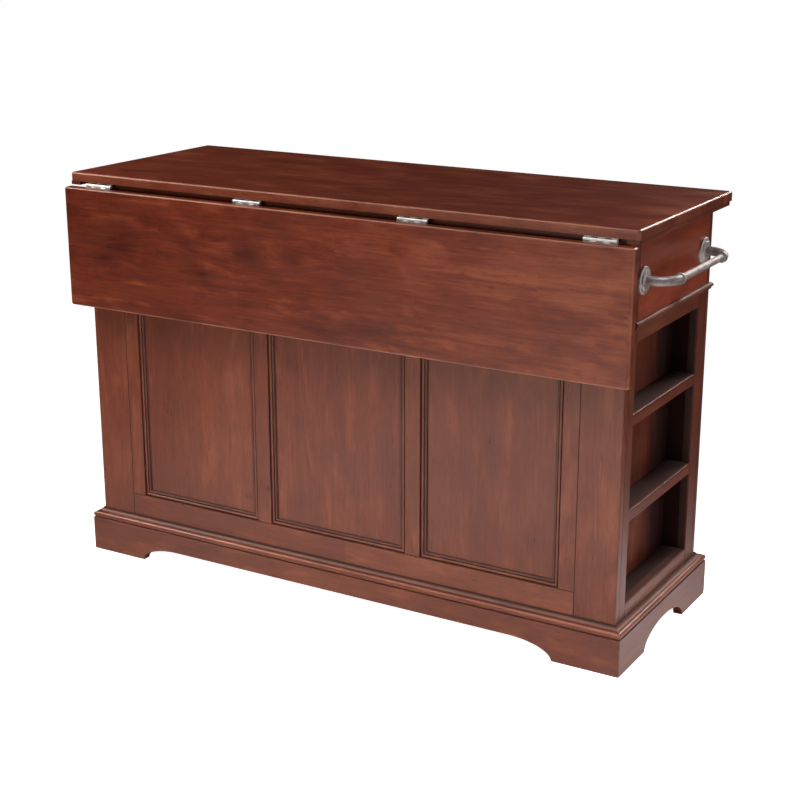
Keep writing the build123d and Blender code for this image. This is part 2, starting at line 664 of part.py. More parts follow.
def brace_plate(y0, y1):
    half = BRACE_PLATE_WIDTH / 2
    rise = BRACE_PLATE_HEIGHT / 2
    return block(BRACE_X - half, BRACE_X + half, y0, y1, BRACE_Z - rise, BRACE_Z + rise)


def brace_base():
    rivet = rod_x(BASE_TAB[0], LOWER_ARM[1], BRACE_Y, BRACE_Z, RIVET_RADIUS)
    return brace_plate(LEAF_FACE - BRACE_PLATE, LEAF_FACE) + tab(BASE_TAB, LEAF_FACE - BRACE_PLATE) + rivet


def brace_leaf_bracket():
    rivet = rod_x(UPPER_ARM[0], LEAF_TAB[1], BRACE_Y, BRACE_Z, RIVET_RADIUS)
    return brace_plate(LEAF_IN, LEAF_IN + BRACE_PLATE) + tab(LEAF_TAB, LEAF_IN + BRACE_PLATE) + rivet


def brace_arm(span):
    top = BRACE_Z + ARM_LENGTH
    half = ARM_WIDTH / 2
    arm = block(span[0], span[1], BRACE_Y - half, BRACE_Y + half, BRACE_Z, top)
    arm = arm + rod_x(span[0], span[1], BRACE_Y, BRACE_Z, half) + rod_x(span[0], span[1], BRACE_Y, top, half)
    arm = arm - rod_x(span[0], span[1], BRACE_Y, BRACE_Z, RIVET_RADIUS + RIVET_GAP)
    return arm - rod_x(span[0], span[1], BRACE_Y, top, RIVET_RADIUS)


right_lower, left_lower = both(lambda: brace_arm(LOWER_ARM))
right_upper, left_upper = both(lambda: brace_arm(UPPER_ARM))
save("brace_bases", *both(brace_base))
save("brace_leaf_brackets", *both(brace_leaf_bracket))
save("brace_lower_arm_right", right_lower)
save("brace_lower_arm_left", left_lower)
save("brace_upper_arm_right", right_upper)
save("brace_upper_arm_left", left_upper)


# Towel bar on the right end
def rosette(y):
    plate = rod_x(END_X, END_X + ROSETTE_THICKNESS, y, BAR_HEIGHT, ROSETTE_RADIUS)
    plate = fillet(plate.edges().sort_by(Axis.X)[-1], ROSETTE_EASE)
    step = rod_x(END_X + ROSETTE_THICKNESS, ROSETTE_FRONT, y, BAR_HEIGHT, ROSETTE_STEP_RADIUS)
    return plate + fillet(step.edges().sort_by(Axis.X)[-1], ROSETTE_EASE)


def towel_arm(y, toward):
    pivot = Axis((BAR_START, y + toward * BAR_BEND, BAR_HEIGHT), (0, 0, toward))
    mouth = Plane(origin=(BAR_START, y, BAR_HEIGHT), x_dir=(0, 1, 0), z_dir=(1, 0, 0)) * Circle(BAR_ARM_RADIUS)
    bend = revolve(mouth, axis=pivot, revolution_arc=90)
    return bend + rod_x(ROSETTE_FRONT, BAR_START, y, BAR_HEIGHT, BAR_ARM_RADIUS)


bar_near = BAR_NEAR_Y + BAR_BEND
bar_far = BAR_FAR_Y - BAR_BEND
towel_bar = rod_y(BAR_X, bar_near, bar_far, BAR_HEIGHT, BAR_RADIUS)
towel_bar = towel_bar + rod_y(BAR_X, bar_near, bar_near + BAR_COLLAR_LENGTH, BAR_HEIGHT, BAR_COLLAR_RADIUS)
towel_bar = towel_bar + rod_y(BAR_X, bar_far - BAR_COLLAR_LENGTH, bar_far, BAR_HEIGHT, BAR_COLLAR_RADIUS)
save("towel_rosettes", rosette(BAR_NEAR_Y), rosette(BAR_FAR_Y))
save("towel_arms", towel_arm(BAR_NEAR_Y, 1), towel_arm(BAR_FAR_Y, -1))
save("towel_bar", towel_bar)


# Knobs, drawers and doors of the service side
def knob(x, z):
    neck = rod_y(x, FRONT_OUT, FRONT_OUT + KNOB_NECK_LENGTH, z, KNOB_NECK_RADIUS)
    head = rod_y(x, FRONT_OUT + KNOB_NECK_LENGTH, FRONT_OUT + KNOB_LENGTH, z, KNOB_RADIUS)
    return neck + fillet(head.edges(), (KNOB_LENGTH - KNOB_NECK_LENGTH) * KNOB_ROUNDING)


FRONT_HALF = BAY / 2 + FRONT_LAP
DOOR_BOTTOM = END_RAIL_TOP - FRONT_LAP
DRAWER_FRONT_BOTTOM = DECK_TOP - FRONT_LAP
DRAWER_KNOB_Z = (DRAWER_FRONT_BOTTOM + DRAWER_FRONT_TOP) / 2
DOOR_KNOB_Z = DOOR_TOP - DOOR_KNOB_DROP
HINGE_SIDES = {"left": -1, "centre": -1, "right": 1}


def drawer_box(x):
    half = DRAWER_WIDTH / 2
    low = DRAWER_BOTTOM
    high = DRAWER_BOTTOM + DRAWER_HEIGHT
    wall = DRAWER_WALL
    return [
        block(x - half, x - half + wall, DRAWER_BACK, FRONT_BACK, low, high),
        block(x + half - wall, x + half, DRAWER_BACK, FRONT_BACK, low, high),
        block(x - half + wall, x + half - wall, DRAWER_BACK, DRAWER_BACK + wall, low, high),
        block(x - half + wall, x + half - wall, FRONT_BACK - wall, FRONT_BACK, low, high),
        block(x - half + wall, x + half - wall, DRAWER_BACK + wall, FRONT_BACK - wall, low, low + DRAWER_FLOOR),
    ]


def eased_front(x, z0, z1):
    front = block(x - FRONT_HALF, x + FRONT_HALF, FRONT_BACK, FRONT_OUT, z0, z1)
    return fillet(front.faces().sort_by(Axis.Y)[-1].edges(), CORNER_EASE)


def door_members(x):
    inner = FRONT_HALF - DOOR_MEMBER_WIDTH
    low = DOOR_BOTTOM + DOOR_MEMBER_WIDTH
    high = DOOR_TOP - DOOR_MEMBER_WIDTH
    members = [
        block(x - FRONT_HALF, x - inner, FRONT_BACK, FRONT_OUT, DOOR_BOTTOM, DOOR_TOP),
        block(x + inner, x + FRONT_HALF, FRONT_BACK, FRONT_OUT, DOOR_BOTTOM, DOOR_TOP),
        block(x - inner, x + inner, FRONT_BACK, FRONT_OUT, DOOR_BOTTOM, low),
        block(x - inner, x + inner, FRONT_BACK, FRONT_OUT, high, DOOR_TOP),
    ]
    return [eased(member, Axis.Y, 1) for member in members]


def door_panel(x):
    inner = FRONT_HALF - DOOR_MEMBER_WIDTH
    face = FRONT_OUT - DOOR_PANEL_RECESS
    low = DOOR_BOTTOM + DOOR_MEMBER_WIDTH
    high = DOOR_TOP - DOOR_MEMBER_WIDTH
    return block(x - inner, x + inner, face - DOOR_PANEL_THICKNESS, face, low, high)


# Door hinges: the outer knuckles and pin sit on the frame, the middle knuckle on the door's edge
DOOR_AXIS_Y = FRONT_FACE + DOOR_HINGE_OUT
DOOR_HINGE_LEVELS = (DOOR_BOTTOM + DOOR_HINGE_INSET, DOOR_TOP - DOOR_HINGE_INSET)
door_knuckle = DOOR_HINGE_LENGTH / DOOR_KNUCKLES


def span_block(x0, x1, *rest):
    return block(min(x0, x1), max(x0, x1), *rest)


def door_hinge_fixed(edge, side, z):
    axis_x = edge + side * DOOR_HINGE_SIDE
    low = z - DOOR_HINGE_LENGTH / 2
    high = z + DOOR_HINGE_LENGTH / 2
    far = axis_x + side * DOOR_PLATE_WIDTH
    hinge = span_block(axis_x, far, FRONT_FACE, FRONT_FACE + DOOR_PLATE, low, high)
    hinge = hinge + rod_z(axis_x, DOOR_AXIS_Y, low, high, DOOR_PIN_RADIUS)
    for z0 in (low, high - door_knuckle + KNUCKLE_GAP):
        z1 = z0 + door_knuckle - KNUCKLE_GAP
        hinge = hinge + rod_z(axis_x, DOOR_AXIS_Y, z0, z1, DOOR_KNUCKLE_RADIUS)
        outside = axis_x + side * DOOR_KNUCKLE_RADIUS
        hinge = hinge + span_block(outside, outside - side * DOOR_PLATE, FRONT_FACE, DOOR_AXIS_Y, z0, z1)
    return hinge


def door_hinge_moving(edge, side, z):
    axis_x = edge + side * DOOR_HINGE_SIDE
    low = z - door_knuckle / 2 + KNUCKLE_GAP / 2
    high = z + door_knuckle / 2 - KNUCKLE_GAP / 2
    ends = (z - DOOR_HINGE_LENGTH / 2, z + DOOR_HINGE_LENGTH / 2)
    start = DOOR_AXIS_Y + DOOR_KNUCKLE_RADIUS + DOOR_SKIN_GAP
    skin = edge + side * DOOR_PLATE
    hinge = span_block(edge, skin, start, FRONT_OUT - DOOR_SKIN_GAP, *ends)
    hinge = hinge + rod_z(axis_x, DOOR_AXIS_Y, low, high, DOOR_KNUCKLE_RADIUS)
    outer = DOOR_AXIS_Y + DOOR_KNUCKLE_RADIUS
    hinge = hinge + span_block(edge, axis_x, outer - DOOR_PLATE, outer, low, high)
    hinge = hinge + span_block(edge, skin, outer - DOOR_PLATE, start, low, high)
    return hinge - rod_z(axis_x, DOOR_AXIS_Y, low, high, DOOR_PIN_RADIUS + HINGE_PIN_GAP)


frame_hinges = []
for bay, x in BAY_CENTRES.items():
    side = HINGE_SIDES[bay]
    edge = x + side * FRONT_HALF
    knob_x = x - side * (FRONT_HALF - DOOR_MEMBER_WIDTH / 2)
    save("drawer_" + bay + "_front", eased_front(x, DRAWER_FRONT_BOTTOM, DRAWER_FRONT_TOP))
    save("drawer_" + bay + "_box", *drawer_box(x))
    save("drawer_" + bay + "_knob", knob(x, DRAWER_KNOB_Z))
    save("door_" + bay + "_frame", *door_members(x))
    save("door_" + bay + "_panel", door_panel(x))
    save(
        "door_" + bay + "_metal",
        knob(knob_x, DOOR_KNOB_Z),
        *[door_hinge_moving(edge, side, z) for z in DOOR_HINGE_LEVELS],
    )
    frame_hinges.extend(door_hinge_fixed(edge, side, z) for z in DOOR_HINGE_LEVELS)
save("door_hinge_fixed", *frame_hinges)
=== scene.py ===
"""Looks, light and camera for the mini bar counter: stained wood, plated metal and a pale studio floor.

Lengths are in metres, in the counter's own frame: +X to the niche end, +Y to the service side, +Z up.
Every node keeps the shape it has in the frame and gets a procedural finish here.
"""
import math

import bpy
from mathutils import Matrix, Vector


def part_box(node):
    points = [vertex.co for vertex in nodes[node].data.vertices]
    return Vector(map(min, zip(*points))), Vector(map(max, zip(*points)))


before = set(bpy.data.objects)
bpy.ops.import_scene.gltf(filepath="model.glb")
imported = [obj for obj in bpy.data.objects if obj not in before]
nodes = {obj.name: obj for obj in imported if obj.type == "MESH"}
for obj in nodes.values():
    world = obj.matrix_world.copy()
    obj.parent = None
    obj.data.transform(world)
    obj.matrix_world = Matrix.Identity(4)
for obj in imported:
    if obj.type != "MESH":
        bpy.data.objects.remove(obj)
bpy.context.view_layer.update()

AXES = {"x": 0, "y": 1, "z": 2}
BAYS = ("left", "centre", "right")

# Camera of the photograph
CAMERA_PLACE = (1.75741, -2.966485, 1.471728)
CAMERA_DOWN = 16.964
CAMERA_TURN = 30.483
CAMERA_LENS = 71.67
SENSOR_WIDTH = 36.0

# Stain colours, dark to light, as screen values from 0 to 255; the pale edge colour is rubbed wear and also a
# painted highlight
BODY_STAIN = ((62, 20, 11), (108, 50, 31), (146, 82, 54))
LEAF_STAIN = ((60, 16, 6), (108, 42, 21), (146, 74, 42))
TOP_STAIN = ((62, 18, 10), (108, 46, 29), (146, 78, 52))
END_STAIN = ((64, 16, 8), (116, 42, 24), (162, 73, 46))
INSIDE_STAIN = ((88, 44, 30), (126, 68, 46), (156, 94, 66))
STAIN_EDGE_AND_HIGHLIGHT = (176, 112, 88)
# dark of pores, joints and lines, also used as painted shade in the niches and mouldings
GLAZE_AND_SHADE = (30, 9, 6)

# Metal colours, dark and light, as screen values
NICKEL = ((112, 103, 102), (186, 175, 174))
# the rosettes' nickel paler than the rest: painted light
ROSETTE_NICKEL_LIT = ((166, 156, 154), (230, 220, 218))
STEEL = ((190, 188, 186), (236, 234, 232))

# Grain, in features per metre along and across the fibres
BANDS = (0.9, 9.0)
CLOUDS = (4.5, 8.0)
BLOTCHES = (9.0, 20.0)
STREAKS = (8.0, 150.0)
FIBRES = (30.0, 560.0)

# Detail, roughness and distortion of each noise of the grain
BAND_NOISE = (2.0, 0.45, 0.5)
CLOUD_NOISE = (2.0, 0.5, 0.6)
BLOTCH_NOISE = (3.0, 0.55, 0.4)
STREAK_NOISE = (3.0, 0.6, 0.2)
FIBRE_NOISE = (2.0, 0.6)
SWAY_DETAIL = 1.0

# How deep each part of the grain shows
BAND_DEPTH = 0.45
CLOUD_DEPTH = 0.34
BLOTCH_DEPTH = 0.5
STREAK_DEPTH = 0.34
PORE_DEPTH = 0.34
PORE_FIBRES = (0.48, 0.32)
RINGS = 11.0
RING_DEPTH = 0.08
RING_BLOTCHES = (0.42, 0.62)
WANDER = 5.0
WANDER_REACH = 0.012

# Boards and the staves of glued boards
WHOLE = 5.0
ONE_BOARD = (WHOLE, WHOLE, WHOLE)
STAVE_WIDTH = 0.085
STAVE_LENGTH = 0.46
STAVE_DEPTH = 0.03
STAVE_SHIFT = 0.012
STAVE_DRAW = (3.7, 1.9)
BOARD_SHIFT = 9.0
BOARD_DEPTH = 0.09
SEED_STEPS = (1.0, 1.7, 2.3)

# Knots, as their reach along and across the grain, and the leaf's ones as X and drop from its top
KNOT_REACH = (0.075, 0.034)
KNOT_SPREAD = 0.85
KNOT_CORE = 5.0
KNOT_DEPTH = 0.2
LEAF_KNOTS = ((-0.214, 0.1), (-0.432, 0.126), (-0.094, 0.098))

# Lacquer, worn edges, arrises rubbed pale with a painted highlight, and the relief of the fibres
LACQUER_IOR = 1.47
WOOD_ROUND = 0.0016
EDGE_TURN = (0.99, 0.86)
WEAR_STREAKS = (0.35, 0.65)
WEAR_DEPTH = (0.12, 0.42)
RUB_BLOTCHES = (0.3, 0.7)
RUB_LEAST = 0.3
DULL_BLOTCHES = 0.24
DULL_FIBRES = 0.12
JOINT_AND_SHADE_DULL = 0.35
RELIEF_FIBRES = 0.6
RELIEF_STREAKS = 0.4
RELIEF_STRENGTH = 0.16
RELIEF_HEIGHT = 0.0004

# Faces told apart by how far they turn from the counter's own directions
SEAM_FACES = (0.78, 0.72)
ARRIS_FACES = (0.98, 0.86)
SQUARE_FACES = (0.6, 0.8)
LEDGE_FACES = (0.5, 0.8)
REVEAL_FACES = (-0.5, -0.8)

# Painted light on the top's upright edges, and drifts of painted light and shade along the leaf and the niche
# end's boards, on the leaf partly its board tone
END_FACE_LIGHT = 0.08
EDGE_FACE_LIGHT = 0.24
LEAF_EVEN = 0.4
LEAF_DRIFT_LIGHT_AND_TONE = (-0.09, 0.12)
LEAF_RISE_LIGHT = (-0.02, 0.02)
END_STILE_FAR_SHADE = (0.02, -0.14)
END_UPPER_OUTER_LIGHT = (-0.02, 0.25)
CORNER_REACH = 0.009

# Painted shade in and round the niches
NICHE_CLEAR = (0.16, 0.07)
NICHE_FAR_SHADE = 0.5
NICHE_REACH = 0.02
NICHE_HALF = (0.0, 0.1)
LEDGE_SHADE = 0.42
DUSK_FAR = (0.23, 0.09)
DUSK_BACK = 0.85
DUSK_LEDGE = 0.68
DUSK_REVEAL = 0.75
DUSK_REACH = 0.006

# Thin dark lines on the niche end's boards
QUIRK_HALF = 0.0007
QUIRK_FADE = (1.6, 0.6)
QUIRK_DEPTH = 0.85
QUIRK_DROP = 0.0045
QUIRK_RISE = 0.0195

# Painted shade on the mouldings, with dark joints above and below the cap, as start, stop and amount behind a
# face or above a foot
BEAD_SIDE_SHADE = (0.0012, 0.0032, 0.75)
BEAD_FLOOR_SHADE = (0.002, 0.006, 0.5)
CAP_BEAD_RISE = 0.0143
CAP_BEAD_BLUR = 0.0006
CAP_HOLLOW_SHADE = 0.45
CAP_TOP_JOINT_SHADE = (0.004, 0.002, 0.9)
CAP_FOOT_JOINT_SHADE = (0.0035, 0.002, 0.7)
DOOR_UPRIGHT = 0.056

# Metal
METAL_ROUND = 0.0008
BRUSH = (60.0, 2400.0)
BRUSH_NOISE = (2.0, 0.6)
TARNISH = (38.0, 38.0, 38.0)
TARNISH_NOISE = (3.0, 0.6)
METAL_SHARE = 0.5
METAL_SHADE = (0.36, 0.64)
METAL_EDGE = 0.3
METAL_DULL_CLOUD = 0.3
METAL_DULL_BRUSH = 0.2
METAL_RELIEF = 0.08
METAL_RELIEF_HEIGHT = 0.0001

# Studio floor and world
WORLD_STRENGTH = 0.013
FLOOR_SIZE = 120.0
FLOOR_DROP = 0.0004
# floor colour: a painted pool of light, pale within the pool and dim outside it, seen in reflections and
# bounced light
FLOOR_PALE = (0.93, 0.93, 0.93, 1.0)
FLOOR_DIM = (0.22, 0.22, 0.22, 1.0)
FLOOR_GLOW = 0.985
FLOOR_SPECKLE = (3.0, 3.0, 3.0)
SPECKLE_DETAIL = 3.0
SPECKLE_RANGE = (0.3, 0.7)
FLOOR_ROUGH = (0.75, 0.9)
PAINTED_POOL_MIDDLE = (0.9, -1.4, 0.0)
PAINTED_POOL_NEAR = 1.6
PAINTED_POOL_FAR = 2.6
WHITE = (1.0, 1.0, 1.0, 1.0)

# Lamps, as name, place, aim, size, power in watts, spread in degrees and colour
WARM = (1.0, 0.96, 0.91)
SUNNY = (1.0, 0.93, 0.85)
COOL = (0.92, 0.95, 1.0)
LAMPS = (
    ("front_left", (-1.4, -3.6, 2.0), (0, 0, 0.45), (2.0, 1.8), 4.0, 150, WARM),
    ("front_low", (0.3, -3.4, 1.0), (0.2, 0, 0.3), (2.4, 0.7), 18.2, 150, WARM),
    ("over_floor", (0.2, -1.7, 2.6), (0.2, -1.4, 0.0), (1.6, 0.6), 16.0, 60, SUNNY),
    ("overhead", (-1.3, -1.0, 2.9), (-1.3, -0.5, 0.9), (2.8, 1.2), 29.5, 140, WARM),
    ("over_left", (-2.9, -1.8, 2.7), (-1.9, -0.25, 0.1), (0.7, 1.0), 34.0, 120, WARM),
    ("right", (3.0, -0.3, 0.4), (0.66, 0.0, 0.6), (0.5, 0.8), 3.0, 120, WARM),
    ("right_behind", (3.2, 1.6, 1.0), (0.6, 0.1, 0.5), (1.0, 1.0), 5.0, 100, WARM),
    ("over_end", (1.2, -0.1, 2.4), (1.0, 0.05, 0.0), (0.6, 0.6), 2.5, 34, COOL),
    ("behind", (1.1, 3.0, 2.3), (0.4, 0, 0.9), (1.8, 0.2), 9.0, 60, WARM),
)


def screen(colour):
    """A screen colour from 0 to 255 as linear light."""
    linear = []
    for value in colour:
        share = value / 255
        linear.append(share / 12.92 if share <= 0.04045 else ((share + 0.055) / 1.055) ** 2.4)
    return (*linear, 1.0)


class Graph:
    """A material's nodes, with one short call for each kind used here."""

    def __init__(self, name):
        self.material = bpy.data.materials.new(name)
        self.material.use_nodes = True
        self.nodes = self.material.node_tree.nodes
        self.links = self.material.node_tree.links
        self.nodes.clear()
        self.shader = self.add("ShaderNodeBsdfPrincipled")
        self.output = self.add("ShaderNodeOutputMaterial")
        self.links.new(self.shader.outputs["BSDF"], self.output.inputs["Surface"])

    def add(self, kind, **settings):
        node = self.nodes.new(kind)
        for key, value in settings.items():
            setattr(node, key, value)
        return node

    def feed(self, socket, value):
        if isinstance(value, bpy.types.NodeSocket):
            self.links.new(value, socket)
        else:
            socket.default_value = value

    def set(self, **values):
        for key, value in values.items():
            self.feed(self.shader.inputs[key.replace("_", " ")], value)

    def place(self):
        return self.add("ShaderNodeTexCoord").outputs["Object"]

    def normal(self):
        return self.add("ShaderNodeNewGeometry").outputs["True Normal"]

    def maths(self, operation, first, second=0.0, clamp=False):
        node = self.add("ShaderNodeMath", operation=operation, use_clamp=clamp)
        self.feed(node.inputs[0], first)
        self.feed(node.inputs[1], second)
        return node.outputs[0]

    def vector(self, operation, first, second=(0, 0, 0)):
        node = self.add("ShaderNodeVectorMath", operation=operation)
        self.feed(node.inputs[0], first)
        self.feed(node.inputs[1], second)
        single = operation in ("DISTANCE", "DOT_PRODUCT")
        return node.outputs["Value" if single else "Vector"]

    def axes(self, vector):
        node = self.add("ShaderNodeSeparateXYZ")
        self.feed(node.inputs[0], vector)
        return node.outputs[0], node.outputs[1], node.outputs[2]

    def join(self, x, y, z):
        node = self.add("ShaderNodeCombineXYZ")
        for socket, value in zip(node.inputs, (x, y, z)):
            self.feed(socket, value)
        return node.outputs[0]

    def noise(self, vector, detail=2.0, roughness=0.5, distortion=0.0, output="Fac"):
        node = self.add("ShaderNodeTexNoise")
        self.feed(node.inputs["Vector"], vector)
        self.feed(node.inputs["Scale"], 1.0)
        self.feed(node.inputs["Detail"], detail)
        self.feed(node.inputs["Roughness"], roughness)
        self.feed(node.inputs["Distortion"], distortion)
        return node.outputs[output]

    def chance(self, vector, output="Value"):
        node = self.add("ShaderNodeTexWhiteNoise", noise_dimensions="3D")
        self.feed(node.inputs["Vector"], vector)
        return node.outputs[output]

    def span(self, value, low, high, to_low=0.0, to_high=1.0):
        node = self.add("ShaderNodeMapRange", interpolation_type="SMOOTHSTEP")
        for socket, number in zip(node.inputs, (value, low, high, to_low, to_high)):
            self.feed(socket, number)
        return node.outputs[0]

    def mix(self, factor, first, second):
        node = self.add("ShaderNodeMix", data_type="RGBA", blend_type="MIX")
        self.feed(node.inputs[0], factor)
        self.feed(node.inputs[6], first)
        self.feed(node.inputs[7], second)
        return node.outputs[2]

    def pick(self, factor, first, second):
        node = self.add("ShaderNodeMix", data_type="VECTOR")
        self.feed(node.inputs[0], factor)
        self.feed(node.inputs[4], first)
        self.feed(node.inputs[5], second)
        return node.outputs[1]

    def ramp(self, value, *colours):
        node = self.add("ShaderNodeValToRGB")
        steps = node.color_ramp.elements
        while len(steps) < len(colours):
            steps.new(0.5)
        for number, colour in enumerate(colours):
            steps[number].position = number / (len(colours) - 1)
            steps[number].color = colour
        self.feed(node.inputs[0], value)
        return node.outputs[0]

    def bevel(self, radius):
        node = self.add("ShaderNodeBevel", samples=4)
        self.feed(node.inputs["Radius"], radius)
        return node.outputs[0]

    def bump(self, height, strength, distance, normal):
        node = self.add("ShaderNodeBump")
        self.feed(node.inputs["Strength"], strength)
        self.feed(node.inputs["Distance"], distance)
        self.feed(node.inputs["Height"], height)
        self.feed(node.inputs["Normal"], normal)
        return node.outputs[0]


def along(axis, frequency):
    """Feature counts per metre as a vector, the first along the grain axis and the second across it."""
    counts = [frequency[1]] * 3
    counts[AXES[axis]] = frequency[0]
    return tuple(counts)


def stave_number(g, place, grain, across):
    """A vector that is the same all over one glued stave, with the staves' ends broken from row to row."""
    parts = g.axes(place)
    row = g.maths("FLOOR", g.maths("DIVIDE", parts[AXES[across]], STAVE_WIDTH))
    shift = g.chance(g.join(row, *STAVE_DRAW))
    run = g.maths("ADD", g.maths("DIVIDE", parts[AXES[grain]], STAVE_LENGTH), shift)
    return g.join(row, g.maths("FLOOR", run), 0.5)


def board_number(g, place, cell):
    """A vector that is the same all over one board, for nodes whose boards lie in different cells."""
    return g.vector("FLOOR", g.vector("DIVIDE", place, cell))


def run_mask(g, place, middle, half):
    """1 on the runs along Y and 0 on the runs along X of a strip that is mitred round the cabinet."""
    x, y, _ = g.axes(g.vector("ABSOLUTE", g.vector("SUBTRACT", place, middle)))
    past_end = g.maths("SUBTRACT", x, half[0])
    past_side = g.maths("SUBTRACT", y, half[1])
    return g.maths("GREATER_THAN", past_end, past_side)


def column_mask(g, place, middle, inner):
    """1 on a door frame's uprights, 0 on its rails."""
    x, _, _ = g.axes(g.vector("ABSOLUTE", g.vector("SUBTRACT", place, middle)))
    return g.maths("GREATER_THAN", x, inner)


def curled(g, here, bent, grain, across, knots):
    """The grain bent round small knots, and a value that is 1 at each knot's core."""
    core = 0.0
    for knot in knots:
        away = g.axes(g.vector("SUBTRACT", here, knot))
        run = g.maths("DIVIDE", away[AXES[grain]], KNOT_REACH[0])
        rise = g.maths("DIVIDE", away[AXES[across]], KNOT_REACH[1])
        far = g.maths("ADD", g.maths("MULTIPLY", run, run), g.maths("MULTIPLY", rise, rise))
        near = g.maths("EXPONENT", g.maths("MULTIPLY", far, -1.0))
        push = [0.0, 0.0, 0.0]
        pull = g.maths("MULTIPLY", near, rise)
        push[AXES[across]] = g.maths("MULTIPLY", pull, -KNOT_SPREAD * KNOT_REACH[1])
        bent = g.vector("ADD", bent, g.join(*push))
        core = g.maths("MAXIMUM", core, g.maths("POWER", near, KNOT_CORE))
    return bent, core


def deeper(g, shade, pattern, middle, depth):
    """The shade with a pattern added to it, the pattern's middle value leaving it as it was."""
    return g.maths("ADD", shade, g.maths("MULTIPLY", g.maths("SUBTRACT", pattern, middle), depth))


def sloping(g, limits):
    """1 on faces that lie well between the counter's own directions, 0 on its flat faces."""
    x, y, z = g.axes(g.vector("ABSOLUTE", g.normal()))
    most = g.maths("MAXIMUM", g.maths("MAXIMUM", x, y), z)
    return g.span(most, *limits)


def quirk(g, here, level):
    """Near 1 in a thin level line at this height, on faces toward the niche end."""
    _, _, z = g.axes(here)
    off = g.maths("ABSOLUTE", g.maths("SUBTRACT", z, level))
    facing, _, _ = g.axes(g.normal())
    line = g.span(off, QUIRK_HALF * QUIRK_FADE[0], QUIRK_HALF * QUIRK_FADE[1])
    return g.maths("MULTIPLY", line, g.span(facing, *SQUARE_FACES, 0.0, QUIRK_DEPTH))


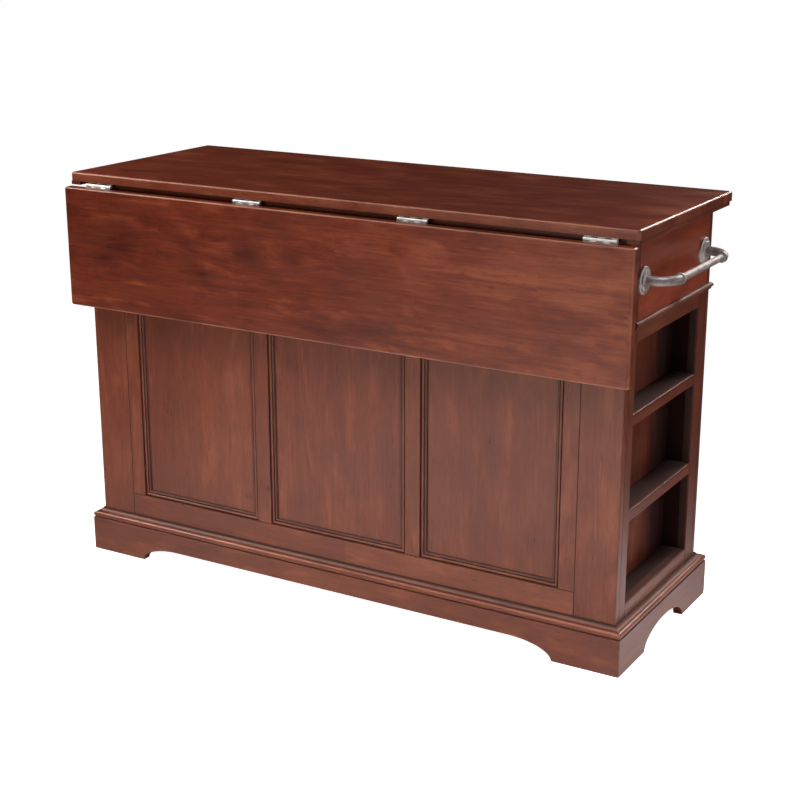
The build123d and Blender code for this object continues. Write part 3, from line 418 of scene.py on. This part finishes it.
def wood(name, grain, seed, tone=0.0, across=None, cell=ONE_BOARD, second=None, mask=None, seams=None,
         quirks=(), depth=None, palette=BODY_STAIN, rough=0.34, contrast=1.0, figure=1.0, wear=1.0,
         rubbed_and_highlit=0.0, gloss=0.5, relief=1.0, knots=()):
    """Stained, lacquered wood. The grain runs along one axis, or along a second where the mask is 1."""
    g = Graph(name)
    here = g.place()
    chosen = mask(g, here) if mask else None

    def stretched(vector, frequency):
        first = along(grain, frequency)
        counts = g.pick(chosen, first, along(second, frequency)) if mask else first
        return g.vector("MULTIPLY", vector, counts)

    # each stave or board has its own tone and its own place in the grain
    number = stave_number(g, here, grain, across) if across else board_number(g, here, cell)
    number = g.vector("ADD", number, tuple(seed * step for step in SEED_STEPS))
    own_tone = g.chance(number)
    reach = STAVE_SHIFT if across else BOARD_SHIFT
    own_shift = g.vector("MULTIPLY", g.chance(number, "Color"), (reach,) * 3)
    slow = g.noise(g.vector("MULTIPLY", here, (WANDER,) * 3), SWAY_DETAIL, output="Color")
    sway = g.vector("MULTIPLY", g.vector("SUBTRACT", slow, (0.5, 0.5, 0.5)), (WANDER_REACH,) * 3)
    bent = g.vector("ADD", g.vector("ADD", here, sway), own_shift)
    bent, core = curled(g, here, bent, grain, across, knots)

    # the grain, from broad bands to single fibres
    bands = g.noise(stretched(bent, BANDS), *BAND_NOISE)
    clouds = g.noise(stretched(bent, CLOUDS), *CLOUD_NOISE)
    blotches = g.noise(stretched(bent, BLOTCHES), *BLOTCH_NOISE)
    streaks = g.noise(stretched(bent, STREAKS), *STREAK_NOISE)
    fibres = g.noise(stretched(bent, FIBRES), *FIBRE_NOISE)
    rings = g.maths("SINE", g.maths("MULTIPLY", bands, RINGS * 2 * math.pi))
    rings = g.maths("MULTIPLY", rings, g.span(blotches, *RING_BLOTCHES))

    shade = deeper(g, 0.5 + tone, bands, 0.5, BAND_DEPTH * contrast)
    shade = deeper(g, shade, clouds, 0.5, CLOUD_DEPTH * figure)
    shade = deeper(g, shade, blotches, 0.5, BLOTCH_DEPTH * figure)
    shade = deeper(g, shade, streaks, 0.5, STREAK_DEPTH * figure)
    shade = deeper(g, shade, rings, 0.0, RING_DEPTH * figure)
    shade = deeper(g, shade, own_tone, 0.5, STAVE_DEPTH if across else BOARD_DEPTH)
    if knots:
        shade = deeper(g, shade, core, 0.0, -KNOT_DEPTH)
    if depth:
        shade = depth(g, here, shade)
    colour = g.ramp(shade, *[screen(step) for step in palette])
    colour = g.mix(g.span(fibres, *PORE_FIBRES, 0.0, PORE_DEPTH), colour, screen(GLAZE_AND_SHADE))

    # edges rubbed pale, arrises also with a painted highlight, then glaze in the joints and lines and painted
    # shade where the seams mask gives it
    rounded = g.bevel(WOOD_ROUND)
    edge = g.span(g.vector("DOT_PRODUCT", rounded, g.normal()), *EDGE_TURN)
    worn_and_highlit = g.span(streaks, *WEAR_STREAKS, WEAR_DEPTH[0] * wear, WEAR_DEPTH[1] * wear)
    worn_and_highlit = g.maths("MULTIPLY", edge, worn_and_highlit)
    # painted highlight: sloping arris faces mixed toward the pale edge colour, on top of their rubbed wear
    if rubbed_and_highlit:
        patchy = g.span(blotches, *RUB_BLOTCHES, RUB_LEAST * rubbed_and_highlit, rubbed_and_highlit)
        worn_and_highlit = g.maths("MAXIMUM", worn_and_highlit, g.maths("MULTIPLY", sloping(g, ARRIS_FACES), patchy))
    colour = g.mix(worn_and_highlit, colour, screen(STAIN_EDGE_AND_HIGHLIGHT))
    # the seams mask gives dark joints and, on the niches and mouldings, painted shade
    if seams:
        joints_and_shade = seams(g, here)
        colour = g.mix(joints_and_shade, colour, screen(GLAZE_AND_SHADE))
    for level in quirks:
        colour = g.mix(quirk(g, here, level), colour, screen(GLAZE_AND_SHADE))

    dull = g.maths("MULTIPLY", g.maths("SUBTRACT", blotches, 0.5), DULL_BLOTCHES * relief)
    dull = deeper(g, dull, fibres, 0.5, DULL_FIBRES * relief)
    if seams:
        dull = g.maths("ADD", dull, g.maths("MULTIPLY", joints_and_shade, JOINT_AND_SHADE_DULL))
    g.set(Base_Color=colour, Roughness=g.maths("ADD", dull, rough, True))
    g.set(IOR=LACQUER_IOR, Specular_IOR_Level=gloss)
    fine = g.maths("MULTIPLY", fibres, RELIEF_FIBRES)
    height = g.maths("ADD", fine, g.maths("MULTIPLY", streaks, RELIEF_STREAKS))
    g.set(Normal=g.bump(height, RELIEF_STRENGTH * relief, RELIEF_HEIGHT, rounded))
    return g.material


def metal(name, tones, rough, grain, seed, plated=1.0):
    """Plated metal with fine brush lines, faint cloudy patches and paler edges."""
    dark, light = tones
    g = Graph(name)
    here = g.vector("ADD", g.place(), (seed, seed, seed))
    brush = g.noise(g.vector("MULTIPLY", here, along(grain, BRUSH)), *BRUSH_NOISE)
    cloud = g.noise(g.vector("MULTIPLY", here, TARNISH), *TARNISH_NOISE)
    shade = g.maths("ADD", g.maths("MULTIPLY", brush, METAL_SHARE), g.maths("MULTIPLY", cloud, METAL_SHARE))
    rounded = g.bevel(METAL_ROUND)
    edge = g.span(g.vector("DOT_PRODUCT", rounded, g.normal()), *EDGE_TURN)
    colour = g.ramp(g.span(shade, *METAL_SHADE), screen(dark), screen(light))
    colour = g.mix(g.maths("MULTIPLY", edge, METAL_EDGE), colour, screen(light))
    dull = g.maths("MULTIPLY", g.maths("SUBTRACT", cloud, 0.5), METAL_DULL_CLOUD)
    dull = deeper(g, dull, brush, 0.5, METAL_DULL_BRUSH)
    g.set(Base_Color=colour, Metallic=plated, Roughness=g.maths("ADD", dull, rough, True))
    g.set(Normal=g.bump(brush, METAL_RELIEF, METAL_RELIEF_HEIGHT, rounded))
    return g.material


def middle_of(low, high):
    return tuple((low + high) / 2)


def half_of(low, high):
    return tuple((high - low) / 2)


# Boxes of the frame that the masks follow
end_low, end_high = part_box("end_upper_panels")
right_low, right_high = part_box("corner_board_right")
front_low, front_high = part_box("front_stiles")
body_low = end_low.copy()
body_low.y = right_low.y
body_high = end_high.copy()
body_high.y = front_high.y
BODY_MIDDLE = middle_of(body_low, body_high)
BODY_HALF = half_of(body_low, body_high)


def round_body(g, here):
    """1 on the end runs of strips that go round the cabinet."""
    return run_mask(g, here, BODY_MIDDLE, BODY_HALF)


def door_uprights(node):
    """A mask that is 1 on this door frame's uprights."""
    low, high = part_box(node)
    inner = half_of(low, high)[0] - DOOR_UPRIGHT
    return lambda g, here: column_mask(g, here, middle_of(low, high), inner)


def broken_edges(g, here):
    """1 on the narrow sloping faces along a board's joints, where the glaze stays dark."""
    return sloping(g, SEAM_FACES)


def corner_edges(*corners):
    """The same, but not on the rounded outer corners that stand at these places."""

    def seams(g, here):
        level = g.vector("MULTIPLY", here, (1, 1, 0))
        shown = broken_edges(g, here)
        for corner in corners:
            away = g.maths("GREATER_THAN", g.vector("DISTANCE", level, corner), CORNER_REACH)
            shown = g.maths("MULTIPLY", away, shown)
        return shown

    return seams


def painted_edge_light(g, here, shade):
    """Painted light: the shade a little paler on the upright edges of a level board, most on the long ones."""
    x, y, _ = g.axes(g.vector("ABSOLUTE", g.normal()))
    shade = g.maths("ADD", shade, g.span(x, *SQUARE_FACES, 0.0, END_FACE_LIGHT))
    return g.maths("ADD", shade, g.span(y, *SQUARE_FACES, 0.0, EDGE_FACE_LIGHT))


def light_and_tone_drift(axis, start, stop, first, last):
    """A shade that drifts from one end of the boards to the other: painted light and shade, on the leaf partly
    its board tone.
    """

    def drift(g, here, shade):
        level = g.axes(here)[AXES[axis]]
        return g.maths("ADD", shade, g.span(level, start, stop, first, last))

    return drift


def in_turn(*changes):
    """Several changes of the shade, one after the other."""

    def changed(g, here, shade):
        for change in changes:
            shade = change(g, here, shade)
        return shade

    return changed


def painted_recess_shade(axis, face, floor, amount):
    """Painted shade, darker where a moulding lies back from its face toward its floor."""

    def darker(g, here, shade):
        level = g.axes(here)[AXES[axis]]
        return g.maths("SUBTRACT", shade, g.span(level, face, floor, 0.0, amount))

    return darker


def sunk(axis, *steps):
    """A mask of painted shade, and at the cap's top a dark joint, that grows where a moulding lies back, by
    one or more steps of (start, stop, amount).
    """

    def mask(g, here):
        level = g.axes(here)[AXES[axis]]
        most = 0.0
        for start, stop, amount in steps:
            most = g.maths("MAXIMUM", most, g.span(level, start, stop, 0.0, amount))
        return most

    return mask


def inside_end(g, x, reach):
    """1 behind the face of the niche end, 0 on that face and on the counter's other half."""
    inward = g.span(x, end_high.x, end_high.x - reach)
    return g.maths("MULTIPLY", inward, g.span(x, *NICHE_HALF))


def niche_shade_tone(g, here, shade):
    """Painted shade: darker toward the far side of the niches and on their ledges."""
    x, y, _ = g.axes(here)
    _, _, upward = g.axes(g.normal())
    far = g.span(y, end_low.y + NICHE_CLEAR[0], end_high.y - NICHE_CLEAR[1], 0.0, NICHE_FAR_SHADE)
    inward = inside_end(g, x, NICHE_REACH)
    level = g.span(upward, *LEDGE_FACES, 0.0, LEDGE_SHADE)
    return g.maths("SUBTRACT", shade, g.maths("MULTIPLY", g.maths("MAXIMUM", far, level), inward))


def niche_shade_mask(g, here):
    """Near 1 where the painted shade lies darkest in the niches: the far part, the ledges and the far reveals.
    """
    x, y, _ = g.axes(here)
    _, aside, upward = g.axes(g.normal())
    far = g.span(y, end_low.y + DUSK_FAR[0], end_high.y - DUSK_FAR[1], 0.0, DUSK_BACK)
    ledge = g.span(upward, *LEDGE_FACES, 0.0, DUSK_LEDGE)
    reveal = g.span(aside, *REVEAL_FACES, 0.0, DUSK_REVEAL)
    most = g.maths("MAXIMUM", g.maths("MAXIMUM", far, ledge), reveal)
    return g.maths("MULTIPLY", most, inside_end(g, x, DUSK_REACH))


def niche_shade_and_joints(g, here):
    """The same painted shade on the end's frame, with the dark joints of its boards."""
    return g.maths("MAXIMUM", niche_shade_mask(g, here), broken_edges(g, here))


def dress(material, *names):
    """This material alone on each of these nodes."""
    for name in names:
        slots = nodes[name].data.materials
        slots.clear()
        slots.append(material)


def dress_top_and_leaf():
    """The glued boards on top, their upright edges painted lighter and their arrises rubbed pale with a
    painted highlight.
    """
    dress(wood("wood_top", "x", 1.0, tone=-0.02, across="y", depth=painted_edge_light, palette=TOP_STAIN,
               contrast=0.7, rubbed_and_highlit=0.7), "top_board")
    low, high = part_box("drop_leaf")
    # painted light: the leaf lighter toward the niche end, partly its board tone, and lighter toward its top
    # edge
    tone = in_turn(light_and_tone_drift("x", low.x + LEAF_EVEN, high.x, *LEAF_DRIFT_LIGHT_AND_TONE),
                   light_and_tone_drift("z", low.z, high.z, *LEAF_RISE_LIGHT))
    knots = [(x, low.y, high.z - drop) for x, drop in LEAF_KNOTS]
    dress(wood("wood_leaf", "x", 2.0, across="z", depth=tone, palette=LEAF_STAIN, figure=1.8,
               rubbed_and_highlit=0.7, knots=knots), "drop_leaf")
    dress(wood("wood_battens", "x", 3.0, tone=-0.1, second="y", mask=round_body), "top_battens")


def dress_panelled_side():
    """Corner boards, frame, panels and beads of the side under the leaf."""
    left_low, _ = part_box("corner_board_left")
    right_corner = (right_high.x, right_low.y, 0)
    left_corner = (left_low.x, left_low.y, 0)
    dress(wood("wood_corner_right", "z", 4.0, tone=-0.02, seams=corner_edges(right_corner)),
          "corner_board_right")
    dress(wood("wood_corner_left", "z", 5.0, seams=corner_edges(left_corner)), "corner_board_left")
    dress(wood("wood_back_stiles", "z", 6.0, cell=(0.2, WHOLE, WHOLE), seams=broken_edges), "back_stiles")
    dress(wood("wood_back_rails", "x", 7.0, cell=(WHOLE, WHOLE, 0.4), seams=broken_edges), "back_rails")
    dress(wood("wood_back_panels", "z", 8.0, cell=(0.373, WHOLE, WHOLE)), "back_panels")
    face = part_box("back_panel_mouldings")[0].y
    # painted shade beside each bead and toward the panel, where the moulding lies back; the bead rubbed pale
    # with a painted highlight
    shade_beside_bead = sunk("y", (face + BEAD_SIDE_SHADE[0], face + BEAD_SIDE_SHADE[1], BEAD_SIDE_SHADE[2]))
    shade_toward_floor = painted_recess_shade("y", face + BEAD_FLOOR_SHADE[0], face + BEAD_FLOOR_SHADE[1], BEAD_FLOOR_SHADE[2])
    dress(wood("wood_mouldings", "z", 9.0, rough=0.3, wear=0.3, relief=0.3, rubbed_and_highlit=0.35,
               seams=shade_beside_bead, depth=shade_toward_floor), "back_panel_mouldings")


def dress_ends():
    """The niche end, the left end's panel and the waist moulding."""
    rail_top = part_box("niche_back")[0].z
    shelf_low, shelf_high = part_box("niche_shelves")
    # painted shade: the end stiles darker toward the service side
    dress(wood("wood_end_stiles", "z", 10.0, cell=(0.6, 0.2, WHOLE), seams=niche_shade_and_joints,
               depth=light_and_tone_drift("y", end_low.y, end_high.y, *END_STILE_FAR_SHADE)), "end_stiles")
    dress(wood("wood_end_rails", "y", 11.0, tone=0.1, cell=(0.6, WHOLE, 0.4), seams=niche_shade_and_joints,
               quirks=(rail_top - QUIRK_DROP,)), "end_rails")
    # painted light: the upper panels paler on their outer face than behind it
    dress(wood("wood_end_upper", "y", 12.0, cell=(0.6, WHOLE, WHOLE), seams=broken_edges, palette=END_STAIN,
               depth=light_and_tone_drift("x", end_low.x, end_high.x, *END_UPPER_OUTER_LIGHT)), "end_upper_panels")
    dress(wood("wood_left_panel", "z", 13.0), "left_end_panel")
    dress(wood("wood_waist", "x", 14.0, second="y", mask=round_body, rough=0.56, wear=0.8), "waist_mouldings")
    # painted shade in the niches: lower tones, darker far parts and ledges, the walls darkest
    dress(wood("wood_niche_back", "z", 15.0, tone=-0.06, depth=niche_shade_tone, seams=niche_shade_mask, rough=0.5, gloss=0.15,
               figure=1.6), "niche_back")
    dress(wood("wood_niche_walls", "z", 16.0, tone=-0.2, cell=(WHOLE, 0.2, WHOLE), depth=niche_shade_tone,
               seams=niche_shade_mask, rough=0.5, gloss=0.15), "niche_walls")
    dress(wood("wood_niche_shelves", "y", 17.0, tone=-0.04, cell=(WHOLE, WHOLE, 0.1), depth=niche_shade_tone,
               seams=niche_shade_mask, quirks=(shelf_high.z - QUIRK_DROP, shelf_low.z + QUIRK_RISE)), "niche_shelves")


def dress_plinth():
    """Plinth boards and the cap moulding, with painted shade over, under and behind its bead and dark joints
    at the cap's top and foot.
    """
    dress(wood("wood_plinth_leaf_side", "x", 20.0, figure=1.3), "plinth_leaf_side")
    dress(wood("wood_plinth_front", "x", 21.0, figure=1.3), "plinth_front")
    dress(wood("wood_plinth_ends", "y", 22.0, cell=(0.6, WHOLE, WHOLE), figure=0.8),
          "plinth_right", "plinth_left")
    low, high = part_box("plinth_caps")
    bead_top = low.z + CAP_BEAD_RISE
    # painted shade in the hollow above the bead, a dark joint with painted shade at the cap's top, and the
    # same at its foot under the bead
    shade_above_bead = sunk("z", (bead_top - CAP_BEAD_BLUR, bead_top + CAP_BEAD_BLUR, CAP_HOLLOW_SHADE),
                      (high.z - CAP_TOP_JOINT_SHADE[0], high.z - CAP_TOP_JOINT_SHADE[1], CAP_TOP_JOINT_SHADE[2]))
    shade_under_bead = painted_recess_shade("z", low.z + CAP_FOOT_JOINT_SHADE[0], low.z + CAP_FOOT_JOINT_SHADE[1], CAP_FOOT_JOINT_SHADE[2])
    dress(wood("wood_caps", "x", 23.0, tone=0.02, second="y", mask=round_body, wear=0.2, depth=shade_under_bead,
               rough=0.3, relief=0.3, rubbed_and_highlit=0.35, seams=shade_above_bead), "plinth_caps")


def dress_service_side():
    """The face frame, the inside, and each bay's drawer and door."""
    corners = ((front_high.x, front_high.y, 0), (front_low.x, front_high.y, 0))
    dress(wood("wood_front_stiles", "z", 18.0, cell=(0.3, WHOLE, WHOLE), seams=corner_edges(*corners)),
          "front_stiles")
    dress(wood("wood_front_rails", "x", 19.0, cell=(WHOLE, WHOLE, 0.3), seams=broken_edges), "front_rails")
    # painted shade where the bottom floors the lowest niche
    dress(wood("wood_cabinet_bottom", "x", 26.0, tone=-0.1, depth=niche_shade_tone, seams=niche_shade_mask), "cabinet_bottom")
    dress(wood("wood_inside_level", "x", 24.0, cell=(0.4, WHOLE, 0.2), palette=INSIDE_STAIN, rough=0.5),
          "cabinet_shelves", "drawer_decks")
    dress(wood("wood_inside_upright", "z", 25.0, cell=(0.4, 0.3, WHOLE), palette=INSIDE_STAIN, rough=0.5),
          "partitions", "corner_blocks")
    for number, bay in enumerate(BAYS):
        seed = 30.0 + 5 * number
        front = "drawer_" + bay + "_front"
        box = "drawer_" + bay + "_box"
        door = "door_" + bay + "_frame"
        panel = "door_" + bay + "_panel"
        dress(wood("wood_" + front, "x", seed), front)
        dress(wood("wood_" + box, "y", seed + 1, palette=INSIDE_STAIN, rough=0.5), box)
        dress(wood("wood_" + door, "x", seed + 2, second="z", mask=door_uprights(door), seams=broken_edges),
              door)
        dress(wood("wood_" + panel, "z", seed + 3), panel)


def dress_metal():
    """Satin nickel on the towel bar and the drawer knobs, bright zinc on the other metal."""
    dress(metal("nickel_bar", NICKEL, 0.58, "y", 0.3, plated=0.7), "towel_bar")
    dress(metal("nickel_arms", NICKEL, 0.5, "z", 1.1, plated=0.7), "towel_arms")
    # painted light: the rosettes in a paler copy of the nickel
    dress(metal("nickel_rosettes_lit", ROSETTE_NICKEL_LIT, 0.42, "z", 1.1, plated=0.7), "towel_rosettes")
    dress(metal("nickel_knobs", NICKEL, 0.42, "z", 1.7, plated=0.7),
          *["drawer_" + bay + "_knob" for bay in BAYS])
    dress(metal("steel_doors", STEEL, 0.24, "z", 2.3),
          "door_hinge_fixed", *["door_" + bay + "_metal" for bay in BAYS])
    dress(metal("steel_leaf", STEEL, 0.32, "x", 2.9, plated=0.6),
          "leaf_hinge_fixed", "leaf_hinge_moving", "brace_bases", "brace_leaf_brackets")
    dress(metal("steel_arms", STEEL, 0.24, "z", 3.5),
          "brace_lower_arm_left", "brace_lower_arm_right", "brace_upper_arm_left", "brace_upper_arm_right")


def lay_floor():
    """A floor that the camera sees as an even white ground and that still takes the counter's soft shade; its
    own colour is a painted pool of light, pale in front of the counter and dim further off.
    """
    half = FLOOR_SIZE / 2
    mesh = bpy.data.meshes.new("studio_floor")
    corners = [(-half, -half, -FLOOR_DROP), (half, -half, -FLOOR_DROP),
               (half, half, -FLOOR_DROP), (-half, half, -FLOOR_DROP)]
    mesh.from_pydata(corners, [], [(0, 1, 2, 3)])
    floor = bpy.data.objects.new("studio_floor", mesh)
    bpy.context.scene.collection.objects.link(floor)
    g = Graph("studio_floor")
    here = g.place()
    speckle = g.noise(g.vector("MULTIPLY", here, FLOOR_SPECKLE), SPECKLE_DETAIL)
    away = g.span(g.vector("DISTANCE", here, PAINTED_POOL_MIDDLE), PAINTED_POOL_NEAR, PAINTED_POOL_FAR)
    # painted pool of light in the floor's own colour
    g.set(Base_Color=g.mix(away, FLOOR_PALE, FLOOR_DIM))
    g.set(Roughness=g.span(speckle, *SPECKLE_RANGE, *FLOOR_ROUGH))
    g.set(Emission_Color=WHITE)
    seen = g.add("ShaderNodeLightPath").outputs["Is Camera Ray"]
    g.set(Emission_Strength=g.maths("MULTIPLY", seen, FLOOR_GLOW))
    mesh.materials.append(g.material)


def soft_light(name, place, aim, size, power, spread, colour):
    """A rectangular lamp that faces its aim."""
    lamp = bpy.data.lights.new(name, "AREA")
    lamp.shape = "RECTANGLE"
    lamp.size, lamp.size_y = size
    lamp.energy = power
    lamp.spread = math.radians(spread)
    lamp.color = colour
    holder = bpy.data.objects.new(name, lamp)
    holder.location = place
    toward = [a - b for a, b in zip(aim, place)]
    flat = math.hypot(toward[0], toward[1])
    holder.rotation_euler = (math.atan2(flat, -toward[2]), 0, math.atan2(-toward[0], toward[1]))
    bpy.context.scene.collection.objects.link(holder)


def light_studio():
    """Soft lamps from above, the left, the front and the niche end, and a world that the camera sees white."""
    world = bpy.data.worlds.new("studio")
    bpy.context.scene.world = world
    world.use_nodes = True
    tree = world.node_tree
    sky = tree.nodes["Background"]
    sky.inputs["Color"].default_value = WHITE
    seen = tree.nodes.new("ShaderNodeLightPath").outputs["Is Camera Ray"]
    brightness = tree.nodes.new("ShaderNodeMapRange")
    brightness.inputs["To Min"].default_value = WORLD_STRENGTH
    brightness.inputs["To Max"].default_value = FLOOR_GLOW
    tree.links.new(seen, brightness.inputs["Value"])
    tree.links.new(brightness.outputs["Result"], sky.inputs["Strength"])
    for lamp in LAMPS:
        soft_light(*lamp)


def set_camera():
    """The photograph's camera, and plain screen colours."""
    lens = bpy.data.cameras.new("camera")
    lens.lens = CAMERA_LENS
    lens.sensor_width = SENSOR_WIDTH
    camera = bpy.data.objects.new("camera", lens)
    camera.location = CAMERA_PLACE
    camera.rotation_euler = (math.radians(90 - CAMERA_DOWN), 0, math.radians(CAMERA_TURN))
    bpy.context.scene.collection.objects.link(camera)
    bpy.context.scene.camera = camera
    bpy.context.scene.view_settings.view_transform = "Standard"


dress_top_and_leaf()
dress_panelled_side()
dress_ends()
dress_plinth()
dress_service_side()
dress_metal()
lay_floor()
light_studio()
set_camera()
